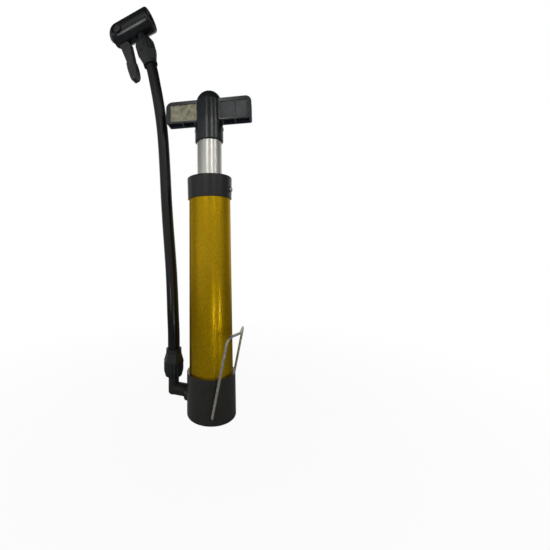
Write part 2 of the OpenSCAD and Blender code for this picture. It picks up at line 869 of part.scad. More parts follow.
// Cup seal with its lip down towards the air that it presses
module cup_seal() {
    r = barrel_ir - run_gap;
    hole = bolt_d / 2 + fit_gap;
    color(rubber)
        rotate_extrude()
            polygon([
                [hole, cup_z], [r - cup_lip_t - 1, cup_z], [r - cup_lip_t, cup_z - 1],
                [r - cup_lip_t / 2, cup_z - cup_lip], [r, cup_z - cup_lip], [r, cup_z + cup_t],
                [hole, cup_z + cup_t]]);
}

// Washer that clamps the cup seal's floor
module piston_washer() {
    color(bright)
        translate([0, 0, washer_z]) ring_solid(barrel_ir * 0.74, bolt_d / 2 + fit_gap, washer_t);
}

// Hex bolt through washer and cup seal into the piston
module piston_bolt() {
    color(bright)
        translate([0, 0, piston_z]) {
            cylinder(d = 1.9 * bolt_d, h = bolt_head_h, $fn = 6);
            translate([0, 0, bolt_head_h]) cylinder(d = bolt_d, h = washer_t + cup_t + bolt_thread);
        }
}

// One panel in a grip's face: a shallow recess
module panel_recess() {
    translate([panel_x, grip_t / 2 - panel_depth, grip_z + panel_rim_bottom]) cube([panel_w, far, panel_h]);
}

// The slim rib across a panel's recess
module panel_rib() {
    translate([panel_rib_x, grip_t / 2 - panel_depth - 1, grip_z])
        cube([panel_rib_w, 1 + panel_depth / 2, panel_rim_bottom + panel_h + 1]);
}

// Cored pockets in a grip's lower face, one each side of a rib
module grip_pockets() {
    mid = panel_rib_x + panel_rib_w / 2;
    for (span = [[pocket_x, mid - pocket_rib / 2], [mid + pocket_rib / 2, pocket_end]])
        translate([span[0], -pocket_w / 2, grip_z - 1])
            cube([span[1] - span[0], pocket_w, 1 + pocket_depth]);
}

// Outline of both grips, with large upper and small lower corners
module grip_outline(half) {
    top = grip_z + grip_h - grip_corner;
    foot = grip_z + grip_foot;
    translate([grip_corner - half, grip_z]) square([2 * (half - grip_corner), grip_h]);
    translate([grip_foot - half, grip_z]) square([2 * (half - grip_foot), top - grip_z]);
    translate([-half, foot]) square([2 * half, top - foot]);
    for (side = [-1, 1]) {
        translate([side * (half - grip_corner), top]) circle(grip_corner);
        translate([side * (half - grip_foot), foot]) circle(grip_foot);
    }
}

// Tee handle: a domed hub with the rod's socket and two grips with panelled faces
module handle() {
    half = handle_len / 2;
    sleeve_top = grip_z + panel_rim_bottom;
    color(black)
        at_handle()
            difference() {
                union() {
                    rotate_extrude() {
                        polygon([
                            [0, 0], [hub_r - hub_edge, 0], [hub_r, hub_edge],
                            [hub_r, sleeve_top - sleeve_taper], [dome_r, sleeve_top],
                            [dome_r, dome_z], [0, dome_z]]);
                        intersection() {
                            translate([0, dome_z]) circle(dome_r);
                            square([far, far]);
                        }
                    }
                    plate_y(grip_t) grip_outline(half);
                }
                translate([0, 0, -1]) cylinder(r = rod_r + fit_gap, h = hub_socket + 1 + shoulder_gap);
                translate([0, 0, cross_pin_z]) rod_x(cross_pin_d / 2 + fit_gap, -far, far);
                both_sides() {
                    mirror([1, 0, 0]) panel_recess();
                    difference() {
                        panel_recess();
                        panel_rib();
                    }
                }
                for (end = [0, 180]) rotate([0, 0, end]) grip_pockets();
            }
}

// Pin across hub and rod, just proud of the hub
module cross_pin() {
    color(soft_black)
        at_handle()
            translate([0, 0, cross_pin_z])
                rod_x(cross_pin_d / 2, -hub_r - cross_pin_proud, hub_r + cross_pin_proud);
}

// Thin plain foil on the smooth panel of one grip
module grip_foil() {
    color(foil)
        at_handle()
            translate([
                foil_inset - panel_x - panel_w, panel_depth - foil_t - grip_t / 2,
                grip_z + panel_rim_bottom + foil_inset])
                cube([panel_w - 2 * foil_inset, foil_t, panel_h - 2 * foil_inset]);
}

base();
barrel();
barrel_gasket();
wire_foot();
elbow();
elbow_seal();
valve_seat();
check_poppet();
check_spring();
lower_hose_nut();
hose();
upper_hose_nut();
head_body();
head_cap();
valve_grommet();
head_plunger();
lever();
lever_pin();
collar();
collar_screw();
guide_bush();
bumper();
rod();
piston();
cup_seal();
piston_washer();
piston_bolt();
handle();
cross_pin();
grip_foil();
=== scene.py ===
import math

import bmesh
import bpy
from mathutils import Matrix, Vector


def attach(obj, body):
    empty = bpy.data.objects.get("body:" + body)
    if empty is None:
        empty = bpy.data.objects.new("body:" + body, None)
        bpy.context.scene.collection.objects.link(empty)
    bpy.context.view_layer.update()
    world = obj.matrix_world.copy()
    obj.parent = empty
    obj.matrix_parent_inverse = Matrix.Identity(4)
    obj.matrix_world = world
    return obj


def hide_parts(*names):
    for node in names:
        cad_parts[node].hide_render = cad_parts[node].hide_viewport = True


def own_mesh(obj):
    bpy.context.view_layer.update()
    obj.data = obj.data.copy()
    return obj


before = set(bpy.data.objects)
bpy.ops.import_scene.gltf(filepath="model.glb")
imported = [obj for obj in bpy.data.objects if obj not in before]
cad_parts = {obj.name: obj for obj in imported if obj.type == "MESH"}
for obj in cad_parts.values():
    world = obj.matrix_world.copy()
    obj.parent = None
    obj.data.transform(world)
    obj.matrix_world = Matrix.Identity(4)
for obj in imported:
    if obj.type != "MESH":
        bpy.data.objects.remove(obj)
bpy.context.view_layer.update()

# Camera: a short lens close to the pump, about a third of the way up it and on its foot's side.
# The picture is a crop of a wider one, so the lens is shifted sideways and down.
sensor_mm = 36.0
lens_mm = 19.116
lens_shift = (0.11, -0.09)
nearest = 0.01
eye = Vector((0.09738016, -0.2261142, 0.12707746))
eye_right = Vector((0.92407, 0.38209, -0.01012))
eye_up = Vector((0.04523, -0.08301, 0.99552))
eye_back = eye_right.cross(eye_up)
camera = bpy.data.objects.new("camera", bpy.data.cameras.new("camera"))
camera.data.sensor_width = sensor_mm
camera.data.lens = lens_mm
camera.data.shift_x, camera.data.shift_y = lens_shift
camera.data.clip_start = nearest
camera.matrix_world = Matrix((
    (eye_right.x, eye_up.x, eye_back.x, eye.x),
    (eye_right.y, eye_up.y, eye_back.y, eye.y),
    (eye_right.z, eye_up.z, eye_back.z, eye.z),
    (0.0, 0.0, 0.0, 1.0)))
bpy.context.scene.collection.objects.link(camera)
bpy.context.scene.camera = camera
bpy.context.scene.view_settings.view_transform = "Standard"


# Studio: a flat white paper sheet under the pump, in a pale room with tall strip lamps and small glint lamps.
# Sheet and room show as plain white, and the sheet keeps a faint soft shadow round the base.
def add_node(tree, kind, sockets=(), **settings):
    made = tree.nodes.new(kind if "Node" in kind else "ShaderNode" + kind)
    for key, value in settings.items():
        setattr(made, key, value)
    for key, value in dict(sockets).items():
        if isinstance(value, bpy.types.NodeSocket):
            tree.links.new(value, made.inputs[key])
        else:
            made.inputs[key].default_value = value
    return made


def seen_directly(tree, in_gloss):
    path = add_node(tree, "LightPath").outputs
    gloss = add_node(
        tree, "Math", {0: path["Is Glossy Ray"], 1: path["Is Transmission Ray"]}, operation="MAXIMUM")
    part = add_node(tree, "Math", {0: gloss.outputs[0], 1: in_gloss}, operation="MULTIPLY")
    return add_node(
        tree, "Math", {0: path["Is Camera Ray"], 1: part.outputs[0]}, operation="MAXIMUM").outputs[0]


sheet_half = 0.40
sheet_white = 0.38
sheet_in_gloss = 0.06
shadow_share = 0.05
shadow_near = 0.07
shadow_far = 0.34
sheet_mesh = bpy.data.meshes.new("paper_sheet")
sheet_mesh.from_pydata(
    [(-sheet_half, -sheet_half, 0), (sheet_half, -sheet_half, 0),
     (sheet_half, sheet_half, 0), (-sheet_half, sheet_half, 0)], [], [(0, 1, 2, 3)])
sheet = bpy.data.objects.new("paper_sheet", sheet_mesh)
bpy.context.scene.collection.objects.link(sheet)
paper = bpy.data.materials.new("white_paper")
paper.use_nodes = True
paper_tree = paper.node_tree
paper_tree.nodes.clear()
paper_diffuse = add_node(paper_tree, "BsdfDiffuse", {"Color": (sheet_white, sheet_white, sheet_white, 1)})
paper_glow = add_node(paper_tree, "Emission", {"Color": (1, 1, 1, 1), "Strength": 1.0})
paper_spot = add_node(paper_tree, "VectorMath", {
    0: add_node(paper_tree, "TexCoord").outputs["Object"]}, operation="LENGTH")
paper_fade = add_node(paper_tree, "MapRange", {
    "Value": paper_spot.outputs["Value"], "From Min": shadow_near, "From Max": shadow_far,
    "To Min": 1 - shadow_share, "To Max": 1.0})
paper_share = add_node(paper_tree, "Math", {
    0: seen_directly(paper_tree, sheet_in_gloss), 1: paper_fade.outputs[0]}, operation="MULTIPLY")
paper_mix = add_node(paper_tree, "MixShader", {
    0: paper_share.outputs[0], 1: paper_diffuse.outputs[0], 2: paper_glow.outputs[0]})
add_node(paper_tree, "OutputMaterial", {"Surface": paper_mix.outputs[0]})
sheet_mesh.materials.append(paper)

backdrop_way = (-0.38, 0.92, 0.09)
right_way = (0.92, 0.38, 0.0)
room_front = 0.55
room_side = 0.20
room_top = 0.08
room_low = 0.15
room_left = 1.35
room_right = 0.75
room_in_gloss = 0.1
ceiling_starts, ceiling_ends = 0.25, 0.6
floor_starts, floor_ends = -0.02, -0.22
room_bands = (
    (0.25, room_front), (0.50, room_side), (0.72, 1.4 * room_side), (0.87, 1.0))
room = bpy.data.worlds.new("white_room")
room.use_nodes = True
room_tree = room.node_tree
room_tree.nodes.clear()
room_way = add_node(room_tree, "TexCoord").outputs["Generated"]
room_depth = add_node(room_tree, "VectorMath", {0: room_way, 1: backdrop_way}, operation="DOT_PRODUCT")
room_share = add_node(room_tree, "MapRange", {
    "Value": room_depth.outputs["Value"], "From Min": -1.0, "From Max": 1.0})
room_ramp = add_node(room_tree, "ValToRGB", {"Fac": room_share.outputs[0]})
room_stops = room_ramp.color_ramp.elements
room_stops.new(0.4)
room_stops.new(0.6)
for stop, (place, level) in zip(room_stops, room_bands):
    stop.position, stop.color = place, (level, level, level, 1)
room_sideways = add_node(room_tree, "VectorMath", {0: room_way, 1: right_way}, operation="DOT_PRODUCT")
room_slant = add_node(room_tree, "MapRange", {
    "Value": room_sideways.outputs["Value"], "From Min": -1.0, "From Max": 1.0,
    "To Min": room_left, "To Max": room_right})
room_height = add_node(room_tree, "SeparateXYZ", {0: room_way}).outputs["Z"]
room_rise = add_node(room_tree, "MapRange", {
    "Value": room_height, "From Min": ceiling_starts, "From Max": ceiling_ends,
    "To Min": 1.0, "To Max": room_top})
room_sink = add_node(room_tree, "MapRange", {
    "Value": room_height, "From Min": floor_starts, "From Max": floor_ends,
    "To Min": 1.0, "To Max": room_low})
room_band = add_node(
    room_tree, "Math", {0: room_rise.outputs[0], 1: room_sink.outputs[0]}, operation="MULTIPLY")
room_level = add_node(
    room_tree, "Math", {0: room_slant.outputs[0], 1: room_band.outputs[0]}, operation="MULTIPLY")
room_light = add_node(room_tree, "Background", {
    "Color": room_ramp.outputs[0], "Strength": room_level.outputs[0]})
room_seen = add_node(room_tree, "Background", {"Color": (1, 1, 1, 1), "Strength": 1.0})
room_gloss = add_node(room_tree, "Math", {0: room_band.outputs[0], 1: room_in_gloss}, operation="MULTIPLY")
room_mix = add_node(room_tree, "MixShader", {
    0: seen_directly(room_tree, room_gloss.outputs[0]), 1: room_light.outputs[0], 2: room_seen.outputs[0]})
add_node(room_tree, "OutputWorld", {"Surface": room_mix.outputs[0]})
bpy.context.scene.world = room


def add_lamp(name, place, aim, width, height, power, tint=(1, 1, 1), spread=180):
    lamp = bpy.data.lights.new(name, "AREA")
    lamp.shape = "RECTANGLE"
    lamp.size = width
    lamp.size_y = height
    lamp.energy = power
    lamp.color = tint
    lamp.spread = math.radians(spread)
    held = bpy.data.objects.new(name, lamp)
    held.location = place
    held.rotation_mode = "QUATERNION"
    held.rotation_quaternion = (Vector(aim) - Vector(place)).to_track_quat("-Z", "Y")
    held.visible_camera = False
    bpy.context.scene.collection.objects.link(held)
    return held


cool_tint = (0.97, 0.985, 1.0)
strip_tint = (1.0, 0.98, 0.93)
glint_tint = (1.0, 0.98, 0.92)
head_tint = (1.0, 0.99, 0.96)
strip_reach = 0.6
strip_height = 0.475
ceiling_lamp = add_lamp(
    "ceiling_lamp", (-0.15, -0.25, 1.25), (0, 0, 0.12), width=1.2, height=0.8, power=1.6, tint=cool_tint)
ceiling_lamp.visible_glossy = False
for strip, (degrees, strip_power) in enumerate(((4.0, 0.25), (45.5, 0.30), (79.0, 0.23)), 1):
    turn = math.radians(degrees)
    place = Vector((strip_reach * math.sin(turn), -strip_reach * math.cos(turn), strip_height))
    add_lamp(
        "strip_%d" % strip, place, (0, 0, place.z),
        width=0.08, height=0.29, power=strip_power, tint=strip_tint)
add_lamp(
    "strip_head", (-0.078, -0.341, 0.174), (-0.0644, -0.0221, 0.3369),
    width=0.056, height=0.105, power=0.0072, tint=head_tint, spread=44)
fill_lamp = add_lamp(
    "fill_lamp", (-0.24, -0.22, 0.24), (-0.07, -0.02, 0.32), width=0.12, height=0.12, power=0.55)
fill_lamp.visible_glossy = False
for name, place, aim in (
        ("glint_front", (0.148, -0.180, 0.036), (0.009, -0.015, 0.078)),
        ("glint_side", (0.217, -0.081, 0.038), (0.013, -0.012, 0.079))):
    add_lamp(name, place, aim, width=0.005, height=0.026, power=0.015, tint=glint_tint)
add_lamp(
    "glint_hose", (-0.057, -0.203, 0.070), (-0.0353, -0.0048, 0.0899),
    width=0.004, height=0.030, power=0.00012, tint=glint_tint, spread=20)


# Hose: a free length of smooth black extruded rubber tube, from the outlet nut up to the pump head.
# It is pushed on a barb at each end and held by the nuts, and rises in a slack curve beside the barrel.
hose_diameter = 0.0102
hose_sides = 28
hose_steps = 6
hose_shine = 0.34
hose_start = Vector((-0.0347, 0.0, 0.0330))
hose_route = [hose_start + Vector(step) / 1000 for step in (
    (0, 0, 0), (0, 0, 14), (-0.2, 0, 27), (-0.9, 0, 41), (-1.8, 0.2, 59), (-3.1, 0.4, 79),
    (-5.1, 0.6, 101), (-7.1, 0.8, 122), (-8.8, 0.8, 144), (-10.1, 0.6, 167), (-11, -0.3, 188),
    (-11.8, -1.7, 206), (-13, -3.2, 221), (-14.7, -4.9, 236), (-16.9, -6.6, 251),
    (-19.7, -8.2, 266.8), (-24.6, -10.2, 284.8))]


def smooth_line(points, steps):
    ends = [points[0] * 2 - points[1], *points, points[-1] * 2 - points[-2]]
    line = []
    for a, b, c, d in zip(ends, ends[1:], ends[2:], ends[3:]):
        for i in range(steps):
            t = i / steps
            line.append(0.5 * (2 * b + (c - a) * t + (2 * a - 5 * b + 4 * c - d) * t * t
                               + (3 * b - a - 3 * c + d) * t ** 3))
    return line + [points[-1]]


def swept_rod(name, line, radius, sides):
    shape = bmesh.new()
    uv = shape.loops.layers.uv.new("along")
    across = Vector((0, 1, 0))
    rings = []
    for i, point in enumerate(line):
        ahead = (line[min(i + 1, len(line) - 1)] - line[max(i - 1, 0)]).normalized()
        across = (across - ahead * across.dot(ahead)).normalized()
        over = ahead.cross(across)
        rings.append([
            shape.verts.new(point + radius * (math.cos(a) * across + math.sin(a) * over))
            for a in (2 * math.pi * k / sides for k in range(sides))])
    run = 0.0
    for i in range(len(rings) - 1):
        stretch = (line[i + 1] - line[i]).length
        for k in range(sides):
            face = shape.faces.new((rings[i][k], rings[i][(k + 1) % sides],
                                    rings[i + 1][(k + 1) % sides], rings[i + 1][k]))
            face.smooth = True
            for loop, u, v in zip(face.loops, (k, k + 1, k + 1, k), (run, run, run + stretch, run + stretch)):
                loop[uv].uv = (u / sides, v)
        run += stretch
    for ring, point in ((list(reversed(rings[0])), line[0]), (rings[-1], line[-1])):
        middle = shape.verts.new(point)
        for k in range(sides):
            shape.faces.new((ring[k], ring[(k + 1) % sides], middle))
    mesh = bpy.data.meshes.new(name)
    shape.to_mesh(mesh)
    shape.free()
    piece = bpy.data.objects.new(name, mesh)
    bpy.context.scene.collection.objects.link(piece)
    return piece


def new_finish(name, colour, roughness, metallic=0.0):
    made = bpy.data.materials.new(name)
    made.use_nodes = True
    shader = made.node_tree.nodes["Principled BSDF"]
    shader.inputs["Base Color"].default_value = (*colour, 1)
    shader.inputs["Roughness"].default_value = roughness
    shader.inputs["Metallic"].default_value = metallic
    return made, shader


def speckle(made, size, stretch=(1, 1, 1), detail=4.0, source="Object"):
    tree = made.node_tree
    coords = add_node(tree, "TexCoord").outputs[source]
    turned = add_node(tree, "Mapping", {"Vector": coords, "Scale": stretch})
    return add_node(tree, "TexNoise", {
        "Vector": turned.outputs[0], "Scale": 1 / size, "Detail": detail, "Roughness": 0.6}).outputs[0]


def graded(made, amount, low, high, start=0.3, end=0.7):
    return add_node(made.node_tree, "MapRange", {
        "Value": amount, "From Min": start, "From Max": end, "To Min": low, "To Max": high}).outputs[0]


def toned(made, amount, dark, light, start=0.3, end=0.7):
    ramp = add_node(made.node_tree, "ValToRGB", {"Fac": amount})
    stops = ramp.color_ramp.elements
    stops[0].position, stops[0].color = start, (*dark, 1)
    stops[1].position, stops[1].color = end, (*light, 1)
    return ramp.outputs[0]


def raised(made, shader, height, depth, strength=1.0):
    bump = add_node(made.node_tree, "Bump", {"Height": height, "Distance": depth, "Strength": strength})
    made.node_tree.links.new(bump.outputs[0], shader.inputs["Normal"])


def feed(made, shader, socket, value):
    made.node_tree.links.new(value, shader.inputs[socket])


hose_line = smooth_line(hose_route, hose_steps)
hose = swept_rod("hose_tube", hose_line, hose_diameter / 2, hose_sides)
hose_black, hose_shader = new_finish("hose_rubber", (0.006, 0.0063, 0.007), roughness=0.30)
hose_shader.inputs["Specular IOR Level"].default_value = hose_shine
hose_streak = speckle(hose_black, size=0.05, stretch=(1.0, 0.02, 1.0), detail=3.0, source="UV")
hose_cloud = speckle(hose_black, size=0.004)
feed(hose_black, hose_shader, "Base Color", toned(
    hose_black, hose_cloud, dark=(0.005, 0.0052, 0.0058), light=(0.008, 0.0083, 0.009)))
hose_run = add_node(hose_black.node_tree, "SeparateXYZ", {
    0: add_node(hose_black.node_tree, "TexCoord").outputs["UV"]}).outputs["Y"]
feed(hose_black, hose_shader, "Roughness", graded(
    hose_black, hose_run, low=0.15, high=0.31, start=0.08, end=0.13))
raised(hose_black, hose_shader, hose_streak, depth=0.00004)
hose.data.materials.append(hose_black)
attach(hose, "pump")
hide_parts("hose")


# Base: a cup moulded in black plastic, with a flat foot, a pad for the outlet and the barrel pushed into it.
# Its satin skin is faintly clouded, and its edges are slightly rounded by the mould.
weld_gap = 2e-6
flat_within = math.radians(0.6)


def as_made(cast, name):
    ready = bpy.context.evaluated_depsgraph_get()
    ready.update()
    finished = bpy.data.meshes.new_from_object(cast.evaluated_get(ready))
    finished.name = name
    finished.materials.clear()
    cast.modifiers.clear()
    cast.data = finished
    return cast


def softened(name, mesh, width, steps, sharpest):
    mesh.shade_smooth()
    rough_cast = bpy.data.objects.new(name, mesh)
    bpy.context.scene.collection.objects.link(rough_cast)
    bevel = rough_cast.modifiers.new("eased_edges", "BEVEL")
    bevel.width = width
    bevel.segments = steps
    bevel.limit_method = "ANGLE"
    bevel.angle_limit = math.radians(sharpest)
    bevel.use_clamp_overlap = True
    even = rough_cast.modifiers.new("even_faces", "WEIGHTED_NORMAL")
    even.keep_sharp = False
    return as_made(rough_cast, name)


def eased(name, node, width, steps=2, sharpest=30, reshaped=None):
    mesh = bpy.data.meshes.new(name)
    shape = bmesh.new()
    shape.from_mesh(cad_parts[node].data)
    bmesh.ops.remove_doubles(shape, verts=shape.verts, dist=weld_gap)
    if reshaped:
        for corner in shape.verts:
            corner.co = reshaped(corner.co)
    bmesh.ops.dissolve_limit(shape, angle_limit=flat_within, verts=shape.verts, edges=shape.edges)
    shape.to_mesh(mesh)
    shape.free()
    if "custom_normal" in mesh.attributes:
        mesh.attributes.remove(mesh.attributes["custom_normal"])
    return softened(name, mesh, width, steps, sharpest)


def fitted(piece, body, node, made):
    piece.data.materials.append(made)
    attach(piece, body)
    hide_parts(node)


def moulded(name, colour, roughness, grain, shine=0.4, relief=0.06):
    made, shader = new_finish(name, colour, roughness)
    shader.inputs["Specular IOR Level"].default_value = shine
    cloud = speckle(made, size=0.006, detail=5.0)
    fine = speckle(made, size=grain, detail=2.0)
    feed(made, shader, "Base Color", toned(
        made, cloud, dark=[0.8 * c for c in colour], light=[1.3 * c for c in colour]))
    feed(made, shader, "Roughness", graded(made, cloud, low=roughness * 0.82, high=roughness * 1.18))
    raised(made, shader, fine, depth=grain * relief)
    return made


mould_edge = 0.0004
satin_black = moulded(
    "satin_black", (0.0172, 0.0174, 0.0150), roughness=0.34, grain=0.0004, shine=0.52, relief=0.03)
base = eased("base_cup", "base", mould_edge)
fitted(base, "pump", "base", satin_black)
rim_black = moulded(
    "rim_black", (0.0092, 0.0093, 0.0083), roughness=0.13, grain=0.0010, shine=0.8, relief=0.004)
base.data.materials.append(rim_black)
base_top = 0.0320
rim_upward = 0.3
for face in base.data.polygons:
    if face.center.z > base_top and face.normal.z > rim_upward:
        face.material_index = 1

# Barrel: a drawn metal tube under a clear gold lacquer with fine flake in it.
# It stands in the base on a rubber gasket, and the collar closes its top.
cut_edge = 0.0002
flake_cells = 1700.0
flake_share = 0.60
flake_relief = 0.000003
lacquer_share = 0.16
lacquer_roughness = 0.06
gold_edge = (0.58, 0.54, 0.40, 1)
gold, gold_shader = new_finish("gold_lacquer", (0.46, 0.27, 0.004), roughness=0.34, metallic=1.0)
gold_flake = add_node(gold.node_tree, "TexVoronoi", {
    "Vector": add_node(gold.node_tree, "TexCoord").outputs["Object"],
    "Scale": flake_cells}).outputs["Color"]
gold_drift = speckle(gold, size=0.03, stretch=(1, 1, 0.25), detail=3.0)
flake_tone = toned(
    gold, gold_flake, dark=(0.31, 0.184, 0.0010), light=(0.90, 0.560, 0.002), start=0.1, end=0.9)
drift_tone = toned(gold, gold_drift, dark=(0.45, 0.268, 0.0012), light=(0.65, 0.405, 0.002))
gold_mix = add_node(gold.node_tree, "Mix", {0: flake_share, 6: flake_tone, 7: drift_tone}, data_type="RGBA")
feed(gold, gold_shader, "Base Color", gold_mix.outputs[2])
feed(gold, gold_shader, "Roughness", graded(gold, gold_flake, low=0.27, high=0.39, start=0.0, end=1.0))
gold_shader.inputs["Specular Tint"].default_value = gold_edge
gold_shader.inputs["Coat Weight"].default_value = lacquer_share
gold_shader.inputs["Coat Roughness"].default_value = lacquer_roughness
raised(gold, gold_shader, gold_flake, depth=flake_relief)
barrel = eased("barrel_tube", "barrel", cut_edge)
fitted(barrel, "pump", "barrel", gold)


# Seals: the gasket under the barrel, the ring behind the outlet, the mouth's grommet, the bumper and the cup.
# They are cut or moulded from soft black rubber, each squeezed between the pieces around it.
def painted(node, made):
    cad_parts[node].data.materials.clear()
    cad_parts[node].data.materials.append(made)


rubber = moulded("soft_rubber", (0.016, 0.016, 0.017), roughness=0.72, grain=0.0003)
for seal in ("barrel_gasket", "elbow_seal", "valve_grommet", "bumper", "cup_seal"):
    painted(seal, rubber)

# Wire foot: one length of dull galvanised wire, bent to a hairpin with its ends sprung into the base.
# It folds up beside the barrel, and swings down to be stood on while pumping.
wire, wire_shader = new_finish("galvanised_wire", (0.36, 0.34, 0.28), roughness=0.42, metallic=1.0)
wire_patch = speckle(wire, size=0.0018, detail=3.0)
feed(wire, wire_shader, "Base Color", toned(
    wire, wire_patch, dark=(0.44, 0.417, 0.352), light=(0.80, 0.772, 0.675)))
feed(wire, wire_shader, "Roughness", graded(wire, wire_patch, low=0.34, high=0.52))
raised(wire, wire_shader, wire_patch, depth=0.00006)
wire_radius = 0.001
wire_sides = 16
wire_bend_steps = 10
foot_hinge = Vector((0.0085, 0, 0.0065))
foot_lean = math.asin(0.22)
foot_half = [((0, 13.05, 0), 0), ((0, 19.4, 0), 1.6), ((0, 19.4, 60), 5)]
foot_bow = ((3.6, 0, 60), 6)


def new_tree(name, inputs):
    tree = bpy.data.node_groups.new(name, "GeometryNodeTree")
    for label, kind in (("Geometry", "Geometry"), *inputs, ("Material", "Material")):
        tree.interface.new_socket(label, in_out="INPUT", socket_type="NodeSocket" + kind)
    tree.interface.new_socket("Geometry", in_out="OUTPUT", socket_type="NodeSocketGeometry")
    return tree, add_node(tree, "NodeGroupInput").outputs


def close_tree(tree, geometry, finish):
    loose = add_node(tree, "GeometryNodeRealizeInstances", {"Geometry": geometry})
    dressed = add_node(tree, "GeometryNodeSetMaterial", {"Geometry": loose.outputs[0], "Material": finish})
    add_node(tree, "NodeGroupOutput", {"Geometry": dressed.outputs[0]})


def grown(name, mesh, tree, values):
    cast = bpy.data.objects.new(name, mesh)
    bpy.context.scene.collection.objects.link(cast)
    maker = cast.modifiers.new(tree.name, "NODES")
    maker.node_group = tree
    for item in tree.interface.items_tree:
        if item.in_out == "INPUT" and item.name in values:
            maker[item.identifier] = values[item.name]
    return as_made(cast, name)


def round_bar(tree, path, radius, sides):
    section = add_node(tree, "GeometryNodeCurvePrimitiveCircle", {"Resolution": sides, "Radius": radius})
    bar = add_node(tree, "GeometryNodeCurveToMesh", {
        "Curve": path, "Profile Curve": section.outputs["Curve"], "Fill Caps": True})
    return add_node(tree, "GeometryNodeSetShadeSmooth", {"Geometry": bar.outputs[0]}).outputs[0]


bend_tree, bend_given = new_tree("bent_wire", (("Wire Radius", "Float"), ("Bend Steps", "Int")))
bend_line = add_node(bend_tree, "GeometryNodeMeshToCurve", {"Mesh": bend_given["Geometry"]})
bend_size = add_node(bend_tree, "GeometryNodeInputNamedAttribute", {"Name": "bend"}, data_type="FLOAT")
bent_line = add_node(bend_tree, "GeometryNodeFilletCurve", {
    "Curve": bend_line.outputs[0], "Count": bend_given["Bend Steps"],
    "Radius": bend_size.outputs["Attribute"], "Limit Radius": True}, mode="POLY")
bent_bar = round_bar(bend_tree, bent_line.outputs[0], bend_given["Wire Radius"], wire_sides)
close_tree(bend_tree, bent_bar, bend_given["Material"])

foot_corners = [*foot_half, foot_bow, *(((x, -y, z), bend) for (x, y, z), bend in reversed(foot_half))]
foot_mesh = bpy.data.meshes.new("wire_line")
foot_mesh.from_pydata(
    [Vector(corner) / 1000 for corner, bend in foot_corners],
    [(i, i + 1) for i in range(len(foot_corners) - 1)], [])
foot_bends = foot_mesh.attributes.new("bend", "FLOAT", "POINT")
foot_bends.data.foreach_set("value", [bend / 1000 for corner, bend in foot_corners])
foot_mesh.transform(Matrix.Translation(foot_hinge) @ Matrix.Rotation(foot_lean, 4, "Y"))
wire_foot = grown("folding_foot", foot_mesh, bend_tree, {
    "Wire Radius": wire_radius, "Bend Steps": wire_bend_steps, "Material": wire})
fitted(wire_foot, "foot", "wire_foot", wire)

# Outlet: an elbow moulded in black plastic and sealed in the base, which turns the air up into the hose.
# In the base's floor, under a brass seat, a brass valve on a steel coil spring lets the air out and not back.
elbow = eased("outlet_elbow", "elbow", mould_edge)
elbow_black = moulded("elbow_black", (0.0165, 0.0161, 0.0143), roughness=0.46, grain=0.0004, shine=0.3)
fitted(elbow, "pump", "elbow", elbow_black)
brass, brass_shader = new_finish("turned_brass", (0.55, 0.40, 0.16), roughness=0.30, metallic=1.0)
brass_rings = speckle(brass, size=0.0005, stretch=(1, 1, 6))
feed(brass, brass_shader, "Roughness", graded(brass, brass_rings, low=0.24, high=0.40))
steel, steel_shader = new_finish("plated_steel", (0.60, 0.61, 0.62), roughness=0.28, metallic=1.0)
steel_lines = speckle(steel, size=0.0006, stretch=(5, 1, 1))
feed(steel, steel_shader, "Roughness", graded(steel, steel_lines, low=0.20, high=0.38))
painted("valve_seat", brass)
painted("check_poppet", brass)
coil_turns = 4.0
coil_turn_steps = 24
coil_sides = 10
coil_r = 0.0020
coil_wire_r = 0.0003
coil_low = 0.00935
coil_length = 0.0076
coil_tree, coil_given = new_tree("coil_spring", (
    ("Turns", "Float"), ("Coil Radius", "Float"), ("Wire Radius", "Float"), ("Length", "Float")))
coil_line = add_node(coil_tree, "GeometryNodeCurveSpiral", {
    "Resolution": coil_turn_steps, "Rotations": coil_given["Turns"],
    "Start Radius": coil_given["Coil Radius"], "End Radius": coil_given["Coil Radius"],
    "Height": coil_given["Length"]})
coil_bar = round_bar(coil_tree, coil_line.outputs[0], coil_given["Wire Radius"], coil_sides)
close_tree(coil_tree, coil_bar, coil_given["Material"])
check_coil = grown("check_coil", bpy.data.meshes.new("coil_start"), coil_tree, {
    "Turns": coil_turns, "Coil Radius": coil_r, "Wire Radius": coil_wire_r, "Length": coil_length,
    "Material": steel})
check_coil.data.transform(Matrix.Translation((0, 0, coil_low)))
fitted(check_coil, "pump", "check_spring", steel)
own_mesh(check_coil)

# Hose nuts: two compression nuts moulded in black plastic, one on the outlet and one on the head.
# Each has a fluted grip with a chamfer, then a six-sided taper that ends in a ring round the hose.
nut_black = moulded("nut_black", (0.0140, 0.0158, 0.0170), roughness=0.46, grain=0.0005, shine=0.38)
nut_sides = 96
nut_mouth_r = 0.0061
nut_bore_r = 0.0045
nut_chamfer = 0.0048
nut_grip_share = 0.54
nut_step = 0.0005
nut_turn = math.radians(15)
nut_ring = 0.0034
nut_ring_r = 0.0065
nut_lip = 0.0001
nut_flat_low = 0.0001
nut_flat_high = 0.0003
nut_hose_gap = 0.0001
nut_hose_r = hose_diameter / 2 + nut_hose_gap
nut_edge = 0.0003
nut_ribs = 16
nut_rib_rise = 0.00045
nut_rib_width = 0.0023
nut_rib_sides = 12
nut_rib_steps = 14
nut_rib_tip = 0.3
nut_rib_swell = 0.35


